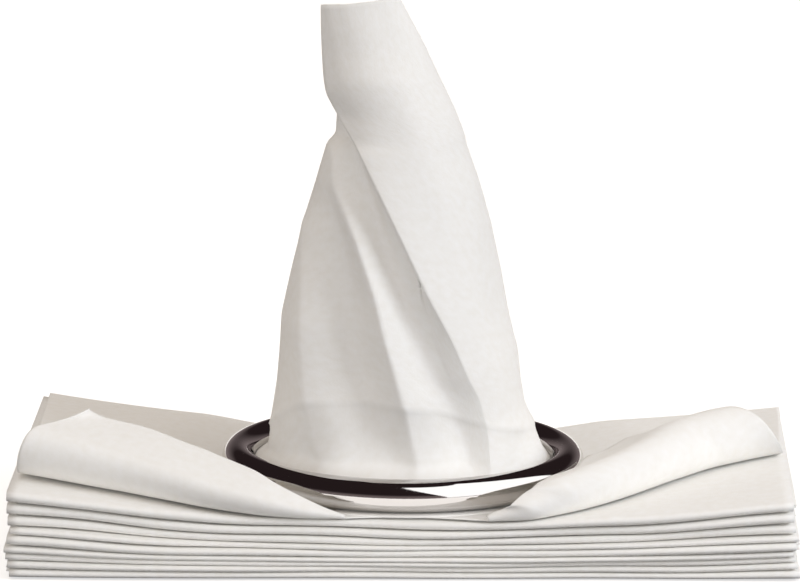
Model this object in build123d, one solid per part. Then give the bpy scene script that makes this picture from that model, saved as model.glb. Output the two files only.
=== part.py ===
from build123d import *
from math import cos, hypot, radians, sin, tan
import os

# Napkin dispenser: a pile of V-folded napkins, interleaved so that each one draws up the next,
# held down by a loose polished ring. The top napkin is drawn up through the ring as a cone.
# Millimetres. X runs along the folds, Y from the front to the back, Z up.
# The origin is on the table, under the middle of the pile.

# Napkins: square sheets folded once in half
napkin_width = 216.0
fold_depth = 108.0
napkin_count = 20
ply_fill = 0.8            # share of the spacing between two plies that is paper
fold_wall = 0.8           # thickness of a fold, front to back
fold_gap = 0.3            # room between a loose edge and the fold round it
stagger = 0.6             # how far some napkins lie to the left or right

# Top of the pile, pressed down in the middle by the ring
left_height = 22.9
middle_height = 12.4
right_height = 20.8

# Ring: a round bar bent into a circle, lying a little lower at the back and at the right
ring_radius = 47.0        # to the middle of the bar
ring_bar_radius = 4.6
ring_x, ring_y = -1.5, 0.7
ring_lean_back = 1.7      # degrees
ring_lean_right = 0.6
ring_seat_gap = 0.25      # above the paper, where the ring comes nearest to it

# Top napkin: a thin open cone. Each row is its height above the middle of the ring, how far it
# leans to the left of the ring, and its half width and half depth. No row is wider than what
# passes through the ring's hole.
cone_wall = 1.0
cone_floor_gap = 0.5      # above the napkin under it
cone_hole_gap = 2.2       # inside the ring's hole
cone_rows = [
    (6.5, 0.1, 37.4, 36.6),
    (23.1, 1.3, 34.9, 34.6),
    (45.5, 2.2, 31.2, 30.4),
    (70.5, 1.8, 26.2, 24.5),
    (95.5, 1.7, 18.6, 17.0),
    (118.5, 7.8, 14.4, 11.5),
    (133.2, 11.8, 11.2, 8.0),
]

# Front corners of the second napkin, rolled back over it as two wings.
# Each wing grows from the front edge to the side edge.
wing_front_x = 28.0       # where both rolls leave the front edge, left and right of the middle
left_wing_rise = 27.0     # how far back each roll meets the side edge
left_wing_width, left_wing_height = 34.0, 13.0
right_wing_rise = 63.0
right_wing_width, right_wing_height = 30.0, 9.5
wing_tip_width, wing_tip_height = 3.0, 1.6
wing_sink = 1.5           # how far a roll's flat side starts below the sheet that it grows from

half_width = napkin_width / 2
half_depth = fold_depth / 2
hole_radius = ring_radius - ring_bar_radius
levels = 2 * napkin_count - 1     # plies in the pile, with the drawn napkin's lower half


def surface(level, x):
    """Height of a curved ply surface at one x."""
    share = level / levels
    side = left_height if x < 0 else right_height
    return share * (middle_height + (side - middle_height) * (x / half_width) ** 2)


def slab(low, high, front, back, shift=0.0):
    """Paper between two ply surfaces, from one depth to another."""
    reach = half_width + stagger
    curves = []
    for level in (low, high):
        points = [Vector(x, front, surface(level, x)) for x in (-reach, 0, reach)]
        whole = ThreePointArc(*points) if level else Line(points[0], points[2])
        ends = [(reach + shift + i * half_width) / (2 * reach) for i in (-1, 1)]
        curves.append(whole.trim(*ends))
    sides = [Line(curves[0] @ i, curves[1] @ i) for i in (0, 1)]
    return extrude(make_face(curves + sides), back - front, dir=(0, 1, 0))


def ply_levels(number):
    """Lower and upper ply of one napkin, counted up from the table."""
    upper = 2 * (napkin_count - number) + 2
    return max(upper - 3, 0), upper


def napkin_shift(number):
    """How far a napkin lies to the right of the middle."""
    return stagger * (-1, 0, 1)[number % 3]


def folded_napkin(number):
    """Two plies joined by a fold, at the front for odd napkins and at the back for even ones."""
    lower, upper = ply_levels(number)
    shift = napkin_shift(number)
    inset = fold_wall + fold_gap
    if number % 2:
        front, back = -half_depth, half_depth - inset
        wall = slab(lower, upper + ply_fill, front, front + fold_wall, shift)
    else:
        front, back = -half_depth + inset, half_depth
        wall = slab(lower, upper + ply_fill, back - fold_wall, back, shift)
    plies = [slab(level, level + ply_fill, front, back, shift) for level in (lower, upper)]
    return plies[0] + plies[1] + wall


def wing(side, rise, width, height):
    """A front corner rolled back: a half-round roll that widens along its own fold line."""
    run = half_width - wing_front_x
    length = hypot(run, rise)
    along = Vector(side * run, rise, 0) / length
    inward = Vector(-side * rise, run, 0) / length
    top_level = ply_levels(2)[1] + ply_fill
    sections = []
    for share, w, h in ((0, wing_tip_width, wing_tip_height), (1, width, height)):
        x = side * (wing_front_x + share * run)
        base = surface(top_level, x) - wing_sink
        place = Vector(x, -half_depth + share * rise, base)
        plane = Plane(origin=place, x_dir=inward, z_dir=inward.cross(Vector(0, 0, 1)))
        half_round = Ellipse(w / 2, h + wing_sink) & Rectangle(w, h * 2, align=(Align.CENTER, Align.MIN))
        sections.append(plane * Pos(w / 2, 0) * half_round)
    roll = loft(sections)
    # the roll runs on past the side edge, so that the edge cuts it square
    end = sections[1].faces()[0]
    roll += extrude(end, width / 2, dir=along)
    return roll


def second_napkin():
    """The next napkin to come: its upper ply lies open, with both front corners rolled back."""
    upper = ply_levels(2)[1]
    shift = napkin_shift(2)
    sheet = folded_napkin(2)
    paper_room = slab(upper, 2 * levels, -half_depth, half_depth, shift)
    rises = ((-1, left_wing_rise, left_wing_width, left_wing_height),
             (1, right_wing_rise, right_wing_width, right_wing_height))
    for side, rise, width, height in rises:
        reach = half_width + 2 * stagger
        rise_at_reach = rise * (reach - wing_front_x) / (half_width - wing_front_x)
        corner = Polyline((side * wing_front_x, -half_depth), (side * reach, -half_depth - stagger),
                          (side * reach, rise_at_reach - half_depth), close=True)
        cut = extrude(make_face(corner), 2 * left_height) & paper_room
        sheet -= cut
        sheet += wing(side, rise, width, height) & paper_room
    return sheet


def ring_height():
    """Height of the ring's middle, where its lowest places clear the paper by the seat gap."""
    heights = []
    for step in range(72):
        angle = radians(5 * step)
        x, y = ring_radius * cos(angle), ring_radius * sin(angle)
        drop = x * tan(radians(ring_lean_right)) + y * tan(radians(ring_lean_back))
        heights.append(surface(levels, ring_x + x) + ring_seat_gap + ring_bar_radius + drop)
    return max(heights)


def cone(inset):
    """The drawn napkin's outer shape, or its inside, as ellipses joined by straight lines."""
    mouth = hole_radius - cone_hole_gap - inset
    floor = surface(levels, ring_x - mouth) + cone_floor_gap
    rings = [Pos(ring_x, ring_y, floor) * Circle(mouth)]
    for rise, lean, half_across, half_deep in cone_rows:
        place = Pos(ring_x - lean, ring_y, ring_height() + rise)
        widest = hole_radius - cone_hole_gap
        reaches = [min(reach, widest) - inset for reach in (half_across, half_deep)]
        rings.append(place * Ellipse(*reaches))
    return loft(rings, ruled=True)


def drawn_napkin():
    """The top napkin, drawn up through the ring: a thin wall, open at both ends."""
    return cone(0) - cone(cone_wall)


def weight_ring():
    """The ring, laid on the paper."""
    ring = Torus(ring_radius, ring_bar_radius)
    return Pos(ring_x, ring_y, ring_height()) * Rot(-ring_lean_back, ring_lean_right, 0) * ring


os.makedirs("parts", exist_ok=True)
export_step(weight_ring(), "parts/weight_ring.step")
export_step(drawn_napkin(), "parts/napkin_01.step")
export_step(second_napkin(), "parts/napkin_02.step")
for number in range(3, napkin_count + 1):
    export_step(folded_napkin(number), f"parts/napkin_{number:02d}.step")
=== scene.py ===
# Napkin dispenser: a polished ring weighs down a pile of folded paper napkins, and the top one is
# drawn up through it. Every napkin here is one 216 mm square sheet, worked out as a surface.
from math import atan2, cos, hypot, pi, radians, sin, tan

import bmesh
import bpy
import numpy as np
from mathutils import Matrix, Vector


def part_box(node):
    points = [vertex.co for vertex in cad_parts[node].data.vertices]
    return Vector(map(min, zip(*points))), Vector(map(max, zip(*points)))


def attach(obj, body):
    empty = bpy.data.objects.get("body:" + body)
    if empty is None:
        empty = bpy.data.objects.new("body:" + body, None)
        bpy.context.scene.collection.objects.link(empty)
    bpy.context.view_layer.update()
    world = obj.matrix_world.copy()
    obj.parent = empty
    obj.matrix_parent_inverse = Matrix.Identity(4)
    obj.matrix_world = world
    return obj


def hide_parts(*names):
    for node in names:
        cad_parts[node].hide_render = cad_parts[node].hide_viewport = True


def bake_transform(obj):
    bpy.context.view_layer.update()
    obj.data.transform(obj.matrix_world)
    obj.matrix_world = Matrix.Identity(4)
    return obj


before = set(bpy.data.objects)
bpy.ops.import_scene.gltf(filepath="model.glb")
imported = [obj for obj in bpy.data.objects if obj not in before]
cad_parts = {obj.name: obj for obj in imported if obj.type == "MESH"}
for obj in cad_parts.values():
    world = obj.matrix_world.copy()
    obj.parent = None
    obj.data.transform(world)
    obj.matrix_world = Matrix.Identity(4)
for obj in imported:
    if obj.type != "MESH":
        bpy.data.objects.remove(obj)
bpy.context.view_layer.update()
print("frame loaded")


def eased(share):
    share = np.clip(share, 0, 1)
    return share * share * (3 - 2 * share)


def smooth(start, end, value):
    # 0 before start and 1 after end, eased at both
    return eased((value - start) / (end - start))


def curve(knots, value, soften=0.35):
    # a soft line through (place, height) pairs: straight lines between them, averaged over a short reach
    places, heights = np.array(knots, float).T
    reach = soften * np.min(np.diff(places))
    steps = np.linspace(-1, 1, 9)
    return np.mean([np.interp(value + reach * s, places, heights) for s in steps], axis=0)


def column(rows, value, item, soften=0.35):
    # the same for one column of a table whose first column is the place
    return curve([(row[0], row[item]) for row in rows], value, soften)


def ripples(x, y, seed, lengths, count=7):
    # sum of sine waves with seeded directions and lengths in mm, between about -1 and 1
    rng = np.random.default_rng(seed)
    total = 0
    for _ in range(count):
        angle, phase = rng.uniform(0, 2 * pi, 2)
        length = rng.uniform(*lengths)
        total = total + np.sin(2 * pi * (x * cos(angle) + y * sin(angle)) / length + phase)
    return total / count ** 0.5 / 1.4


def millimetres(point):
    return np.array(point) * 1000


def gridFaces(rows, columns, start=0, joined=False):
    # quads between neighbouring rows and columns; joined also ties the last column to the first
    across = np.arange(columns if joined else columns - 1)
    r, c = np.meshgrid(np.arange(rows - 1), across, indexing="ij")
    nextC = (c + 1) % columns
    quads = [r * columns + c, r * columns + nextC, (r + 1) * columns + nextC, (r + 1) * columns + c]
    return np.stack(quads, -1).reshape(-1, 4) + start


def sheetObject(name, patches, thickness, material, weld=False):
    # patches: (positions in mm, flat sheet coordinates in mm, joined); flat coordinates become the UV map
    points, flats, faces, start = [], [], [], 0
    for positions, flat, joined in patches:
        rows, columns = positions.shape[:2]
        faces.append(gridFaces(rows, columns, start, joined))
        points.append(positions.reshape(-1, 3) / 1000)
        flats.append(flat.reshape(-1, 2) / 1000)
        start += rows * columns
    points, flats, faces = np.concatenate(points), np.concatenate(flats), np.concatenate(faces)
    mesh = bpy.data.meshes.new(name)
    mesh.from_pydata(points.tolist(), [], faces.tolist())
    layer = mesh.uv_layers.new(name="flatSheet")
    layer.data.foreach_set("uv", flats[faces.ravel()].astype(np.float32).ravel())
    if weld:
        work = bmesh.new()
        work.from_mesh(mesh)
        bmesh.ops.remove_doubles(work, verts=work.verts, dist=0.00001)
        work.to_mesh(mesh)
        work.free()
    mesh.shade_smooth()
    obj = bpy.data.objects.new(name, mesh)
    bpy.context.scene.collection.objects.link(obj)
    mesh.materials.append(material)
    if thickness:
        wall = obj.modifiers.new("paperWall", "SOLIDIFY")
        wall.thickness = thickness / 1000
        wall.offset = 0
    return obj


def linearColour(text):
    # "#RRGGBB" in sRGB to linear RGBA
    parts = [int(text[i:i + 2], 16) / 255 for i in (1, 3, 5)]
    return [p / 12.92 if p <= 0.04045 else ((p + 0.055) / 1.055) ** 2.4 for p in parts] + [1.0]


def addNode(tree, kind, settings=None, links=None):
    # settings: attribute or input name to value; links: input name to another node's output
    node = tree.nodes.new(kind)
    for key, value in (settings or {}).items():
        if isinstance(key, str) and hasattr(node, key):
            setattr(node, key, value)
        else:
            node.inputs[key].default_value = value
    for key, output in (links or {}).items():
        tree.links.new(output, node.inputs[key])
    return node


def newMaterial(name):
    material = bpy.data.materials.new(name)
    material.use_nodes = True
    tree = material.node_tree
    tree.nodes.clear()
    return material, tree


tissue = {
    "light": "#FBFAF7", "shade": "#F7F5F0",   # fibres lie thicker and thinner
    "roughness": 0.92, "sheen": 0.08,
    "clump": 2.6, "fibre": 0.42,              # mm
    "clumpBump": 0.05, "fibreBump": 0.03,     # mm
}


def napkinPaper():
    # bleached tissue pressed into soft sheets: matt, faintly mottled where its fibres lie thicker
    material, tree = newMaterial("bleachedNapkinPaper")
    place = addNode(tree, "ShaderNodeUVMap", {"uv_map": "flatSheet"}).outputs["UV"]
    clumps = addNode(tree, "ShaderNodeTexNoise", {"Scale": 1000 / tissue["clump"], "Detail": 3.0,
                                                  "Roughness": 0.55}, {"Vector": place})
    stretched = addNode(tree, "ShaderNodeMapping", {"Scale": (1.0, 0.45, 1.0)}, {"Vector": place})
    fibres = addNode(tree, "ShaderNodeTexNoise", {"Scale": 1000 / tissue["fibre"], "Detail": 2.0},
                     {"Vector": stretched.outputs["Vector"]})
    ramp = addNode(tree, "ShaderNodeValToRGB", {}, {"Fac": clumps.outputs["Fac"]})
    ramp.color_ramp.elements[0].position = 0.3
    ramp.color_ramp.elements[0].color = linearColour(tissue["shade"])
    ramp.color_ramp.elements[1].position = 0.7
    ramp.color_ramp.elements[1].color = linearColour(tissue["light"])
    soft = addNode(tree, "ShaderNodeBump", {"Strength": 1.0, "Distance": tissue["clumpBump"] / 1000},
                   {"Height": clumps.outputs["Fac"]})
    fine = addNode(tree, "ShaderNodeBump", {"Strength": 1.0, "Distance": tissue["fibreBump"] / 1000},
                   {"Height": fibres.outputs["Fac"], "Normal": soft.outputs["Normal"]})
    paper = addNode(tree, "ShaderNodeBsdfPrincipled",
                    {"Roughness": tissue["roughness"], "Sheen Weight": tissue["sheen"],
                     "Specular IOR Level": 0.2},
                    {"Base Color": ramp.outputs["Color"], "Normal": fine.outputs["Normal"]})
    addNode(tree, "ShaderNodeOutputMaterial", {}, {"Surface": paper.outputs["BSDF"]})
    return material


chromePlate = {
    "colour": "#D9D6D4", "roughness": 0.045, "polish": 0.16,
    "haze": 9.0, "hairline": 0.4,             # mm
}


def polishedChrome():
    # chrome plate over buffed steel: mirror bright, with a very faint uneven polish
    material, tree = newMaterial("polishedChromePlate")
    place = addNode(tree, "ShaderNodeTexCoord").outputs["Object"]
    haze = addNode(tree, "ShaderNodeTexNoise", {"Scale": 1000 / chromePlate["haze"], "Detail": 2.0},
                   {"Vector": place})
    spread = addNode(tree, "ShaderNodeMapRange",
                     {"From Min": 0.3, "From Max": 0.8, "To Min": chromePlate["roughness"],
                      "To Max": chromePlate["roughness"] + 0.05}, {"Value": haze.outputs["Fac"]})
    hair = addNode(tree, "ShaderNodeTexNoise", {"Scale": 1000 / chromePlate["hairline"], "Detail": 1.0},
                   {"Vector": place})
    bump = addNode(tree, "ShaderNodeBump", {"Strength": chromePlate["polish"], "Distance": 0.00001},
                   {"Height": hair.outputs["Fac"]})
    plate = addNode(tree, "ShaderNodeBsdfPrincipled",
                    {"Base Color": linearColour(chromePlate["colour"]), "Metallic": 1.0},
                    {"Roughness": spread.outputs["Result"], "Normal": bump.outputs["Normal"]})
    addNode(tree, "ShaderNodeOutputMaterial", {}, {"Surface": plate.outputs["BSDF"]})
    return material


paperMaterial = napkinPaper()
chromeMaterial = polishedChrome()
print("materials made")


ring = {"bar": 4.6, "leanBack": 1.7, "leanRight": 0.6}
ringLow, ringHigh = (millimetres(corner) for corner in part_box("weight_ring"))
ringX, ringY, ringZ = (ringLow + ringHigh) / 2
ringRadius = (ringHigh[0] - ringLow[0]) / 2 - ring["bar"]
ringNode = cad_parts["weight_ring"]
ringNode.data.materials.clear()
ringNode.data.materials.append(chromeMaterial)


def ringFloor(x, y):
    # the plane through the ring's lowest line, lower at the back and at the right
    drop = (y - ringY) * tan(radians(ring["leanBack"])) + (x - ringX) * tan(radians(ring["leanRight"]))
    return ringZ - ring["bar"] - drop


pile = {
    "bands": (3.6, 3.3, 2.8, 1.9, 2.8, 1.9, 1.9, 2.2, 2.5),   # heights of the front folds, from the top
    "frontLeft": 23.4, "frontMiddle": 15.4, "frontRight": 21.3,
    "backLeft": 24.6, "backMiddle": 15.0, "backRight": 21.3,
    "frontPower": 1.75, "backPower": 1.9,
    "pressed": 1.15,          # from the ring's lowest line down to the third napkin
    "pressedOut": 50.0, "pressedEnd": 80.0,   # from the ring's middle: fully pressed, and free again
    "paper": 0.2,             # wall of one sheet
    "loose": 1.9,             # from a fold's outside to the loose edges in it
    "wander": 0.75,           # how far a fold strays from a straight line
    "waves": 0.22,            # of the whole top
    "uneven": 1.1,            # how far the plies swell and thin along the pile, in plies
    "lip": 0.8,               # depth of a fold for its height
    "outLeft": 8.0, "outRight": 3.5,   # how far the lowest front fold stands in front of the top one
    "leftOut": 1.4,           # how much further the left side has slid out
    "stagger": 0.9, "turn": 0.5,       # each sheet's own slip sideways, and its twist
}
pileLow, pileHigh = (millimetres(corner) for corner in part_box("napkin_20"))
halfWidth = (pileHigh[0] - pileLow[0]) / 2
halfDepth = (pileHigh[1] - pileLow[1]) / 2
napkinCount = 20
levelPlaces = [0, 1] + [5 + 4 * i for i in range(9)] + [39]
bandSteps = np.array([0.2] + list(pile["bands"][::-1]))
levelHeights = np.concatenate([[0.1], np.cumsum(bandSteps) + 0.1])
levelHeights = np.append(levelHeights / levelHeights[-1], 1.03)


def bed(x, y):
    # top of the third napkin: each edge falls from its corners to its middle by a power of the
    # distance, depth mixes front and back, and the ring presses its own plane into the middle
    side = np.minimum(np.abs(x) / halfWidth, 1.05)
    front = np.where(x < 0, pile["frontLeft"], pile["frontRight"]) - pile["frontMiddle"]
    back = np.where(x < 0, pile["backLeft"], pile["backRight"]) - pile["backMiddle"]
    front = pile["frontMiddle"] + front * side ** pile["frontPower"]
    back = pile["backMiddle"] + back * side ** pile["backPower"]
    free = front + (back - front) * (y + halfDepth) / (2 * halfDepth)
    free = free + pile["waves"] * ripples(x, y, 3, (60, 140)) * smooth(15, 70, np.abs(x))
    near = 1 - smooth(pile["pressedOut"], pile["pressedEnd"], np.hypot(x - ringX, y - ringY))
    return free + (ringFloor(x, y) - pile["pressed"] - free) * near


def plyHeight(level, x, y):
    # a ply's share of the pile's height at one place, swelling and thinning along the pile
    inside = smooth(0, 8, level) * smooth(40, 30, level)         # not at the table or the top
    level = level + pile["uneven"] * ripples(x, level * 2.2, 5, (45, 130), 6) * inside
    return np.interp(level, levelPlaces, levelHeights) * bed(x, y)


def plyLevels(number):
    # each sheet's upper ply and, three plies down, its lower one: neighbours lie between them
    upper = 2 * (napkinCount - number) + 2
    return max(upper - 3, 0), upper


def foldedSheet(number):
    # one grid down the upper ply, round the fold and back along the lower ply;
    # the fold is half an ellipse, as deep as the lip's share of its height
    lower, upper = plyLevels(number)
    rng = np.random.default_rng(100 + number)
    across = np.linspace(-halfWidth, halfWidth, 73)[None, :]
    inward = rng.uniform(-0.5, 1.0) + pile["wander"] * ripples(across, 0, number, (50, 160), 4)
    side = smooth(-halfWidth, halfWidth, across)
    out = pile["outLeft"] + (pile["outRight"] - pile["outLeft"]) * side
    out = out * (number % 2) * ((number - 3) / (napkinCount - 3)) ** 0.8
    edge = -halfDepth + inward - out
    away = 1 - (1 - np.linspace(0, 1, 24)[:, None]) ** 1.6       # closer together at the fold
    loose = halfDepth - pile["loose"] - rng.uniform(0, 1.0) - out
    y0 = edge + 0 * across
    low, high = lower + 0.5, upper + 0.5
    facing = 1 if number % 2 else -1
    tall = plyHeight(high, across, facing * y0) - plyHeight(low, across, facing * y0)
    deep = pile["lip"] * tall
    plyY = loose + (y0 + deep - loose) * away
    turn = np.linspace(pi / 2, -pi / 2, 11)[1:-1, None]
    foldY = y0 + deep - deep * np.cos(turn)
    topZ = plyHeight(high, across, facing * plyY)
    endZ = plyHeight(high, across, facing * (y0 + deep))
    endLow = plyHeight(low, across, facing * (y0 + deep))
    foldZ = (endZ + endLow) / 2 + (endZ - endLow) / 2 * np.sin(turn)
    lowZ = plyHeight(low, across, facing * plyY[::-1])
    y = facing * np.concatenate([plyY, foldY, plyY[::-1]])
    z = np.concatenate([topZ, foldZ, lowZ])
    x = across - pile["leftOut"] * (number / napkinCount) ** 0.6 * smooth(0, -halfWidth, across)
    x = x + pile["stagger"] * rng.uniform(-1, 1) + y / halfDepth * rng.uniform(-1, 1) * pile["turn"]
    positions = np.stack([x, y, z], -1)
    centre = across.shape[1] // 2
    length = np.concatenate([[0], np.cumsum(np.hypot(np.diff(y[:, centre]), np.diff(z[:, centre])))])
    flat = np.stack([across + 0 * y, length[:, None] + 0 * y], -1)
    if number % 2 == 0:
        positions, flat = positions[:, ::-1], flat[:, ::-1]
    return [(positions, flat, False)]


for number in range(3, napkinCount + 1):
    node = f"napkin_{number:02d}"
    piece = sheetObject(f"foldedNapkin{number:02d}", foldedSheet(number), pile["paper"], paperMaterial)
    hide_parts(node)
    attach(piece, "pile")
print("pile folded")


wings = {
    # each row runs from the tip to the side edge: share of the way; where the roll touches the
    # pile, x and y; its radius; the paper's length from there over the roll to its free edge;
    # the slopes that it leaves the roll and ends with, in degrees up from level.
    # slip is how far the free edge has slid back towards the tip at the side edge: it comes on
    # along the wing by the power growth, and over the roll by the power overRoll
    "left": {"rows": ((0.00, -15.0, -52.5, 0.3, 0.9, 5, 0), (0.10, -28.0, -54.6, 1.6, 8.0, 35, 30),
                      (0.25, -40.0, -54.6, 3.0, 17.0, 30, 28), (0.45, -57.5, -51.6, 4.3, 26.5, 22, 18),
                      (0.70, -78.5, -46.4, 5.7, 33.0, 16, 12), (0.90, -98.5, -43.6, 6.8, 35.0, 8, 18),
                      (1.00, -109.0, -42.6, 7.3, 35.0, 3, 56)),
             "slip": 18.0, "growth": 5.0, "overRoll": 2.5},
    "right": {"rows": ((0.00, 22.0, -53.6, 0.3, 0.9, 5, 0), (0.10, 35.5, -54.4, 1.8, 6.5, -5, -8),
                       (0.28, 50.0, -46.5, 4.0, 14.5, -16, -20), (0.42, 59.5, -39.6, 5.2, 21.0, -20, -22),
                       (0.60, 71.5, -30.0, 6.2, 29.0, -24, -22), (0.80, 89.0, -14.6, 7.4, 40.0, -27, -22),
                       (0.92, 101.0, -9.0, 7.8, 45.0, -27, -20), (1.00, 109.3, -6.4, 7.9, 48.0, -27, -8)),
              "slip": 39.0, "growth": 0.75, "overRoll": 1.5},
    "above": 0.5,             # from the third napkin to this one
    "inset": 1.2,             # its left edge, inside the third napkin's
    "middleBack": 3.0,        # how far the ring has drawn the middle of the front edge back
    "rollStart": 162,         # along the flat sheet, where the rolls' own part of it begins
}


def sheetTop(x, y):
    return bed(x, y) + wings["above"]


def wingPatch(side, wing, share):
    # one roll: at each place along it the paper leaves the pile outwards, turns up round a circle
    # and comes back over itself at its own slope, and its height is above the pile below it
    s = share[None, :]
    touchX, touchY, radius, length, leaves, ends = (column(wing["rows"], s, i) for i in range(1, 7))
    alongX, alongY = np.gradient(touchX, axis=1), np.gradient(touchY, axis=1)
    size = np.hypot(alongX, alongY)
    inX, inY = -side * np.abs(alongY) / size, np.abs(alongX) / size
    turned = radius * np.radians(180 - leaves)
    whole = turned + np.maximum(length - turned, 0.4)
    p = np.linspace(0, 1, 60)[:, None] ** 1.15
    steps = p * whole
    rest = np.clip((steps - turned) / np.maximum(whole - turned, 0.1), 0, 1)
    heading = np.radians(np.where(steps < turned, 180 - np.degrees(steps / radius), 0)
                         + np.where(steps < turned, 0, leaves + (ends - leaves) * rest ** 2.2))
    gap = np.diff(steps, axis=0)
    middle = (heading[1:] + heading[:-1]) / 2
    zero = np.zeros_like(s)
    across = radius + np.concatenate([zero, np.cumsum(np.cos(middle) * gap, axis=0)])
    height = np.concatenate([zero, np.cumsum(np.sin(middle) * gap, axis=0)])
    slip = wing["slip"] * s ** wing["growth"] * (steps / whole) ** wing["overRoll"]
    x = touchX + inX * across - slip * alongX / size
    y = touchY + inY * across - slip * alongY / size
    z = sheetTop(x, y) + height
    flat = np.stack([touchX + 0 * p, touchY + inY * radius - steps], -1)
    return np.stack([x, y, z], -1), flat


def secondNapkin():
    # the lower ply, the fold at the back, the upper ply up to the rolls, then the two rolls
    lower, upper = plyLevels(2)
    share = np.linspace(0, 1, 64)
    rolls = [wingPatch(side, wings[key], share) for side, key in ((-1, "left"), (1, "right"))]
    (left, leftFlat), (right, rightFlat) = rolls
    middle = np.linspace(left[0, 0, 0], right[0, 0, 0], 30)[1:-1]
    t = (middle - left[0, 0, 0]) / (right[0, 0, 0] - left[0, 0, 0])
    middleY = left[0, 0, 1] + (right[0, 0, 1] - left[0, 0, 1]) * t + wings["middleBack"] * np.sin(pi * t)
    frontX = np.concatenate([left[0, ::-1, 0], middle, right[0, :, 0]])[None, :]
    frontY = np.concatenate([left[0, ::-1, 1], middleY, right[0, :, 1]])[None, :]
    backX = np.where(frontX < 0, frontX * (halfWidth - wings["inset"]) / -left[0, -1, 0],
                     frontX * halfWidth / right[0, -1, 0])
    backY = halfDepth - 0.6 + 0 * frontX
    tall = sheetTop(backX, backY) - plyHeight(lower + 0.5, backX, backY)
    deep = 0.4 * tall
    start = -halfDepth + pile["loose"]
    lowY = start + (backY - deep - start) * np.linspace(0, 1, 24)[:, None]
    turn = np.linspace(-pi / 2, pi / 2, 11)[1:-1, None]
    foldY = backY - deep + deep * np.cos(turn)
    endZ, endLow = sheetTop(backX, backY - deep), plyHeight(lower + 0.5, backX, backY - deep)
    foldZ = (endZ + endLow) / 2 + (endZ - endLow) / 2 * np.sin(turn)
    down = np.linspace(0, 1, 60)[:, None]
    topY = backY - deep + (frontY - backY + deep) * down
    topX = backX + (frontX - backX) * down ** 1.5
    y = np.concatenate([lowY, foldY, topY])
    x = np.concatenate([backX + 0 * lowY, backX + 0 * foldY, topX])
    z = np.concatenate([plyHeight(lower + 0.5, backX, lowY), foldZ, sheetTop(topX, topY)])
    centre = y.shape[1] // 2
    length = np.concatenate([[0], np.cumsum(np.hypot(np.diff(y[:, centre]), np.diff(z[:, centre])))])
    flat = np.stack([x, length[:, None] + 0 * y], -1)
    return [(np.stack([x, y, z], -1), flat, False),
            (left[:, ::-1], leftFlat[:, ::-1] * (1, -1) + (0, wings["rollStart"]), False),
            (right, rightFlat * (1, -1) + (0, wings["rollStart"]), False)]


wingedNapkin = sheetObject("wingedNapkin", secondNapkin(), pile["paper"], paperMaterial, weld=True)
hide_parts("napkin_02")
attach(wingedNapkin, "pile")
print("wings rolled")


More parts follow.
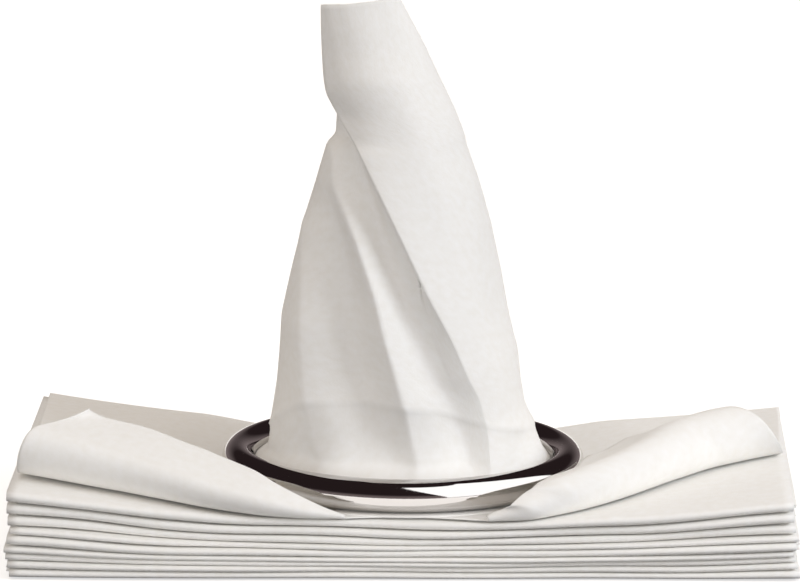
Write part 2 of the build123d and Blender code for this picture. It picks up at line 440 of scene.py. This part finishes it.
drawn = {
    # height, middle, half the width, half the depth
    "sections": ((20.0, -0.6, 40.4, 40.0), (24.0, -0.9, 39.4, 36.6), (30.0, -1.8, 37.4, 35.6),
                 (36.0, -2.6, 35.6, 34.9), (43.0, -2.6, 34.4, 34.0), (51.0, -2.6, 33.6, 32.4),
                 (63.0, -3.6, 31.7, 30.2), (74.5, -3.3, 29.3, 27.8), (83.0, -3.2, 27.4, 25.9),
                 (88.5, -3.3, 26.4, 24.6), (100.0, -3.1, 23.1, 21.6), (111.0, -3.4, 19.6, 18.4),
                 (113.4, -2.4, 18.2, 17.4), (120.5, -3.6, 16.7, 15.6), (126.6, -6.5, 16.7, 14.2),
                 (130.0, -7.5, 16.0, 13.4), (138.0, -9.5, 14.4, 9.5), (150.4, -13.0, 11.4, 5.2),
                 (156.0, -14.5, 10.4, 4.4)),
    # the crease round it, by direction in degrees: -90 left, 0 front, 90 right, 180 back
    "crease": ((-180, 40), (-120, 32), (-90, 28.5), (-60, 38), (-40, 42.5), (0, 43), (25, 40),
               (45, 34.5), (70, 31), (90, 29.5), (120, 33), (180, 40)),
    "creaseRidge": 0.3,
    # the pleat that crosses the front: height, place to the right, overlap, how far it stands out
    # (a negative overlap is plain cloth: the pleat has opened out)
    "pleat": ((15, 24.5, -4, 0.0), (23.3, 23.5, -4, 0.0), (32, 22.3, -4, 0.0), (43.6, 19.3, -4, 0.0),
              (49.4, 16.3, -4, 0.06), (61, 11.3, -3.5, 0.22), (72.6, 5.5, -1.2, 0.36), (87, -0.9, 3.0, 0.5),
              (101.6, -7.6, 7.0, 0.9), (113, -13.2, 9.5, 1.0), (120, -18.2, 9.5, 1.0),
              (126, -21.6, 8.5, 0.8), (130, -22.9, 8.0, 0.7), (150, -23.9, 7.0, 0.5), (160, -24.0, 7.0, 0.5)),
    # ridges and valleys across the front, from the left, ending at the pleat's own ridge:
    # height, then place and how far out (+) or in (-) for each
    "ridges": ((20, -21.5, 0.2, -4.5, -1.6, 4.3, 0.0, 19.9, -2.6, 23.5, 0.0),
               (25, -22.5, 1.0, -5.0, -2.0, 3.8, 0.6, 19.3, -2.9, 23.2, 0.8),
               (32, -25.6, 2.4, -7.5, -2.9, 1.9, 1.1, 17.0, -2.7, 22.3, 1.2),
               (43.6, -26.4, 3.2, -13.2, -3.6, -0.6, 1.9, 12.1, -2.4, 19.3, 1.6),
               (49.4, -26.7, 3.4, -14.0, -3.9, -2.3, 2.1, 7.7, -2.6, 16.3, 2.0),
               (61, -27.5, 3.4, -16.2, -3.9, -5.6, 2.2, 3.2, -2.7, 11.3, 2.4),
               (72.6, -27.6, 2.4, -17.4, -3.4, -8.4, 2.0, -1.7, -2.6, 5.5, 2.5),
               (87, -28.6, 1.0, -19.9, -2.0, -13.4, 1.5, -7.0, -3.2, -0.9, 2.1),
               (101.6, -32.0, 0.0, -23.5, 0.3, -20.0, 0.9, -12.6, -3.2, -7.6, 1.4),
               (113, -33.0, 0.0, -24.5, 0.2, -21.5, 0.3, -17.5, -2.8, -13.2, 0.8),
               (126, -34.0, 0.0, -28.0, 0.0, -26.0, 0.0, -24.0, -0.5, -21.6, 0.3),
               (150, -34.0, 0.0, -30.0, 0.0, -28.0, 0.0, -26.0, 0.0, -23.9, 0.0)),
    "fadeLeft": 13, "fade": 16.0,      # back to plain cloth, left of the first ridge and right of the last
    "foldDepth": 1.1,         # times the ridges' own heights
    "crisp": 0.6, "crispPower": 1.9,   # how much of a ridge's shape is crisp, and how crisp that is
    # soft creases in the right panel: (height, place), width, how far in or out by height
    "panelFolds": ((((60, 26.0), (110, 10.0), (150, -8.0)), 6.0,
                    ((45, -0.2), (80, -0.7), (120, -0.6), (150, -0.2))),
                   (((40, 27.0), (75, 17.0), (120, 3.0), (150, -13.0)), 4.5,
                    ((35, 0.6), (80, 0.6), (120, 0.4), (150, 0.2)))),
    "topLeft": 150.4, "topRight": 152.9, "topLeftX": -24.3, "topRightX": -2.0, "topBackLower": 5.5,
    "skirtPleats": 13, "skirtDepth": 1.1,     # gathers above the ring
    "wrinkles": 0.16,
    "clear": 0.35,            # from the ring's bar to the paper round it
    "underOut": 51.0, "underIn": 14.0,   # radii of the paper under the ring, out and back in again
    "underDrop": 0.32,        # between those two layers
    "skirtBends": 0.72,       # share of the way down where the skirt turns towards the bar
    "paper": 0.2,
}


def around(z, main, turnBack, s):
    # rows at height z run once round the cone and a little past their start, then double back,
    # which makes one flat pleat; an ellipse sized by height, pushed out and in by the ridges
    middle, halfX, halfY = (column(drawn["sections"], z, i) for i in (1, 2, 3))
    pleatX, overlap, stands = (column(drawn["pleat"], z, i) for i in (1, 2, 3))
    start = np.arcsin(np.clip((pleatX - middle) / halfX, -0.995, 0.995))
    extra = overlap / np.maximum(halfX * 0.8 + halfY * 0.2, 6)
    back = len(turnBack)
    k = np.concatenate([s, np.ones(back)])[None, :]
    b = np.concatenate([np.zeros(main), turnBack])[None, :]
    angle = start + k * (2 * pi + extra) - b * extra
    ends = np.concatenate([1 - 2 * s, -1 + 2 * np.linspace(0, 1, back + 2)[1:-1]])[None, :]
    steepness = np.concatenate([np.full(len(s), 2.2), np.ones(back)])[None, :]
    offset = stands * np.sign(ends) * np.abs(ends) ** steepness
    x = middle + halfX * np.sin(angle)
    facing = smooth(-0.05, 0.3, np.cos(angle))
    knots = [(column(drawn["ridges"], z, i, 0.2), column(drawn["ridges"], z, i + 1, 0.2))
             for i in (1, 3, 5, 7, 9)]
    knots = [(knots[0][0] - drawn["fadeLeft"], 0)] + knots + [(knots[-1][0] + drawn["fade"], 0)]
    push = 0.0
    for step, ((x0, p0), (x1, p1)) in enumerate(zip(knots, knots[1:])):
        # ridges are fairly crisp and the hollows between them round
        part = np.clip((x - x0) / np.maximum(x1 - x0, 0.5), 0, 1)
        power = drawn["crispPower"]
        crisp = part ** power if step % 2 == 0 else 1 - (1 - part) ** power
        part = crisp * drawn["crisp"] + eased(part) * (1 - drawn["crisp"])
        push = push + drawn["foldDepth"] * (p1 - p0) * part
    for line, width, amounts in drawn["panelFolds"]:
        push = push + curve(amounts, z) * np.exp(-((x - curve(line, z)) / width) ** 2)
    out = offset + push * facing
    # wrinkles lie round a 36 mm circle, so they meet where the rows close
    fine = ripples(36 * np.sin(angle), 36 * np.cos(angle) + z * 0.5, 11, (14, 34), 9)
    out = out + drawn["wrinkles"] * fine * smooth(24, 40, z)
    return angle, middle + (halfX + out) * np.sin(angle), ringY - (halfY + out) * np.cos(angle)


def drawnGrid():
    # rows from under the ring, up the skirt to the crease, and on to the top edge
    main, back = 250, 30
    s = np.linspace(0, 1, main)
    turnBack = (1 - np.cos(np.linspace(0, pi, back + 2)[1:-1])) / 2
    rise = np.linspace(0, 1, 98)[:, None] ** 0.97
    base, _, _ = around(np.full((1, 1), 40.0), main, turnBack, s)
    direction = (np.degrees(base) + 180) % 360 - 180
    creaseZ = curve(drawn["crease"], direction)

    # above the crease
    z = creaseZ + (151.5 - creaseZ) * rise
    angle, x, _ = around(z, main, turnBack, s)
    edge = np.clip((x[-1:] - drawn["topLeftX"]) / (drawn["topRightX"] - drawn["topLeftX"]), 0, 1)
    topZ = drawn["topLeft"] + (drawn["topRight"] - drawn["topLeft"]) * edge
    topZ = topZ - drawn["topBackLower"] * eased((0.35 - np.cos(angle[-1:])) / 0.9)
    z = creaseZ + (topZ - creaseZ) * rise
    _, x, y = around(z, main, turnBack, s)
    ridge = drawn["creaseRidge"] * np.exp(-(z - creaseZ) / 1.3)
    upper = np.stack([x + ridge * np.sin(base), y - ridge * np.cos(base), z], -1)

    # the skirt, from the crease down to the ring's middle
    down = np.linspace(0, 1, 27)[1:, None]
    floorZ = ringFloor(ringX + ringRadius * np.sin(base), ringY - ringRadius * np.cos(base)) + ring["bar"]
    zDown = creaseZ + (floorZ - creaseZ) * down
    angle, x, y = around(zDown, main, turnBack, s)
    ridge = drawn["creaseRidge"] * np.exp(-(creaseZ - zDown) / 0.8)
    skirt = np.stack([x + ridge * np.sin(base), y - ridge * np.cos(base), zDown], -1)

    # round the inside of the bar, under it, and back in below
    bar = ring["bar"] + drawn["clear"]
    bend = np.linspace(pi, 1.5 * pi, 9)[:, None]
    radii = np.concatenate([ringRadius + bar * np.cos(bend),
                            np.linspace(ringRadius, drawn["underOut"], 5)[1:, None],
                            np.linspace(drawn["underOut"] + 0.2, drawn["underIn"], 14)[:, None]])
    heights = np.concatenate([bar * np.sin(bend), np.full((4, 1), -bar),
                              np.full((14, 1), -bar - drawn["underDrop"])])
    a = angle[-1:]
    outX, outY = np.sin(a), -np.cos(a)
    x3, y3 = ringX + radii * outX, ringY + radii * outY
    under = np.stack([x3, y3, ringFloor(x3, y3) + ring["bar"] + heights], -1)

    ease = smooth(drawn["skirtBends"], 1.0, down)[..., None]
    skirt = skirt + (under[:1] - skirt[-1:]) * ease
    wave = np.sin(drawn["skirtPleats"] * a + 1.3 * np.sin(2 * a + 0.6)) * 0.5 + 0.5
    slow = np.sin(7 * a + 0.9) * 0.5 + 0.5
    depth = drawn["skirtDepth"] * np.sin(pi * down * 0.97) ** 0.8 * (0.6 * wave + 0.6 * slow)
    skirt[..., 0] -= depth * outX
    skirt[..., 1] -= depth * outY

    grid = np.concatenate([under[::-1], skirt[::-1], upper])
    steps = np.linalg.norm(np.diff(grid[:, 60], axis=0), axis=1)
    length = np.concatenate([[0], np.cumsum(steps)])[:, None]
    width = np.linspace(0, 216, main + back)[None, :]
    flat = np.stack([width + 0 * length, length + 0 * width], -1)
    return [(grid, flat, True)]


drawnSheet = sheetObject("drawnNapkin", drawnGrid(), drawn["paper"], paperMaterial)
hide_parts("napkin_01")
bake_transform(drawnSheet)
print("napkin drawn up")


studio = {
    "floorColour": "#E4E1DD", "floorGlow": 0.6,   # with the light on it, this comes to white
    "floorBounce": "#4E4A48",                      # what it throws back on the pile
    "fill": 0.575, "fillColour": "#FFF4E9", "lampColour": "#EEF5FF",
    "key": 5.9, "keySize": 0.45, "keyPlace": (0.95, -0.4, 0.48),
    "side": 4.1, "sideSize": 0.6, "sidePlace": (-0.34, -1.15, 0.14),
    "top": 2.1, "topSize": 1.3, "topPlace": (0.1, 0.1, 1.5),
    "dark": "#292021", "horizon": "#7A6F6F",
    "boxFrom": 3, "boxTo": 114, "boxLow": 1, "boxHigh": 72, "boxSlant": 26, "boxGlow": 1.5,
}


def lightTowards(obj, place, target):
    obj.location = place
    direction = np.array(target) - np.array(place)
    yaw = atan2(direction[1], direction[0]) - pi / 2
    pitch = atan2(direction[2], hypot(direction[0], direction[1]))
    obj.rotation_euler = (pi / 2 + pitch, 0, yaw)


def shownRays(tree):
    # 1 for the rays that show the backdrop: straight to the camera, off metal and through glass
    ray = addNode(tree, "ShaderNodeLightPath")
    seen = addNode(tree, "ShaderNodeMath", {"operation": "MAXIMUM"},
                   {0: ray.outputs["Is Camera Ray"], 1: ray.outputs["Is Glossy Ray"]})
    either = addNode(tree, "ShaderNodeMath", {"operation": "MAXIMUM"},
                     {0: seen.outputs[0], 1: ray.outputs["Is Transmission Ray"]})
    return either.outputs[0]


def buildStage():
    bpy.ops.mesh.primitive_plane_add(size=8, location=(0, 0, -0.0001))
    floor = bpy.context.object
    floor.name = "tableTop"
    material, tree = newMaterial("paleTable")
    # pale, with a glow that leaves the shadow on it; its bounce is darker, which keeps the folds clear
    pale = addNode(tree, "ShaderNodeBsdfDiffuse", {"Color": linearColour(studio["floorColour"])})
    glow = addNode(tree, "ShaderNodeEmission", {"Color": (1, 1, 1, 1), "Strength": studio["floorGlow"]})
    shown = addNode(tree, "ShaderNodeAddShader", {}, {0: pale.outputs[0], 1: glow.outputs[0]})
    bounce = addNode(tree, "ShaderNodeBsdfDiffuse", {"Color": linearColour(studio["floorBounce"])})
    both = addNode(tree, "ShaderNodeMixShader", {}, {0: shownRays(tree), 1: bounce.outputs[0],
                                                     2: shown.outputs[0]})
    addNode(tree, "ShaderNodeOutputMaterial", {}, {"Surface": both.outputs[0]})
    floor.data.materials.append(material)

    world = bpy.data.worlds.new("softRoom")
    bpy.context.scene.world = world
    world.use_nodes = True
    tree = world.node_tree
    tree.nodes.clear()
    soft = addNode(tree, "ShaderNodeBackground", {"Color": linearColour(studio["fillColour"]),
                                                  "Strength": studio["fill"]})
    white = addNode(tree, "ShaderNodeBackground", {"Color": (1, 1, 1, 1), "Strength": 1.0})
    room = addNode(tree, "ShaderNodeMixShader", {}, {0: shownRays(tree), 1: soft.outputs[0],
                                                     2: white.outputs[0]})
    addNode(tree, "ShaderNodeOutputWorld", {}, {"Surface": room.outputs[0]})

    # dark studio walls with one long window light, which only polished metal sees
    def dome(name, radius, azimuth, elevation, shader):
        a, e = np.radians(azimuth), np.radians(elevation)
        points = radius * np.stack([np.sin(a) * np.cos(e), -np.cos(a) * np.cos(e), np.sin(e) + 0 * a], -1)
        mesh = bpy.data.meshes.new(name)
        mesh.from_pydata(points.reshape(-1, 3).tolist(), [], gridFaces(*points.shape[:2]).tolist())
        mesh.shade_smooth()
        obj = bpy.data.objects.new(name, mesh)
        bpy.context.scene.collection.objects.link(obj)
        mesh.materials.append(shader)
        for flag in ("camera", "diffuse", "transmission", "volume_scatter", "shadow"):
            setattr(obj, "visible_" + flag, False)

    material, tree = newMaterial("darkStudioCloth")
    place = addNode(tree, "ShaderNodeTexCoord").outputs["Object"]
    up = addNode(tree, "ShaderNodeSeparateXYZ", {}, {"Vector": place}).outputs["Z"]
    share = addNode(tree, "ShaderNodeMapRange", {"From Min": 0.2, "From Max": 0.9}, {"Value": up})
    ramp = addNode(tree, "ShaderNodeValToRGB", {}, {"Fac": share.outputs["Result"]})
    ramp.color_ramp.elements[0].color = linearColour(studio["horizon"])
    ramp.color_ramp.elements[1].color = linearColour(studio["dark"])
    dark = addNode(tree, "ShaderNodeEmission", {"Strength": 1.0}, {"Color": ramp.outputs["Color"]})
    addNode(tree, "ShaderNodeOutputMaterial", {}, {"Surface": dark.outputs[0]})
    dome("darkStudio", 3.0, np.linspace(-180, 180, 73)[None, :], np.linspace(-20, 90, 30)[:, None], material)

    material, tree = newMaterial("windowLight")
    bright = addNode(tree, "ShaderNodeEmission", {"Color": (1, 1, 1, 1), "Strength": studio["boxGlow"]})
    addNode(tree, "ShaderNodeOutputMaterial", {}, {"Surface": bright.outputs[0]})
    rise = np.linspace(0, 1, 8)[:, None]
    fromSide = studio["boxFrom"] + studio["boxSlant"] * (1 - rise)
    dome("windowLight", 2.9, fromSide + (studio["boxTo"] - fromSide) * np.linspace(0, 1, 30)[None, :],
         studio["boxLow"] + (studio["boxHigh"] - studio["boxLow"]) * rise, material)

    for name, place, size in (("key", studio["keyPlace"], studio["keySize"]),
                              ("side", studio["sidePlace"], studio["sideSize"]),
                              ("top", studio["topPlace"], studio["topSize"])):
        lamp = bpy.data.objects.new(name + "Light", bpy.data.lights.new(name + "Light", "AREA"))
        lamp.data.energy = studio[name]
        lamp.data.color = linearColour(studio["lampColour"])[:3]
        lamp.data.shape = "SQUARE"
        lamp.data.size = size
        lamp.visible_glossy = False
        bpy.context.scene.collection.objects.link(lamp)
        lightTowards(lamp, place, (0, 0, 0.06))


view = {"target": (-0.0023, 0.0, 0.068), "distance": 1.4543, "elevation": 12.94, "azimuth": 1.40,
        "lens": 231.4}


def buildCamera():
    camera = bpy.data.objects.new("camera", bpy.data.cameras.new("camera"))
    camera.data.lens = view["lens"]
    camera.data.sensor_width = 36
    camera.data.clip_start, camera.data.clip_end = 0.05, 20
    up, round_ = radians(view["elevation"]), radians(view["azimuth"])
    back = np.array([sin(round_) * cos(up), -cos(round_) * cos(up), sin(up)])
    place = np.array(view["target"]) + view["distance"] * back
    lightTowards(camera, place, view["target"])
    bpy.context.scene.collection.objects.link(camera)
    bpy.context.scene.camera = camera


buildStage()
buildCamera()
bpy.context.scene.view_settings.view_transform = "Standard"
print("stage lit")
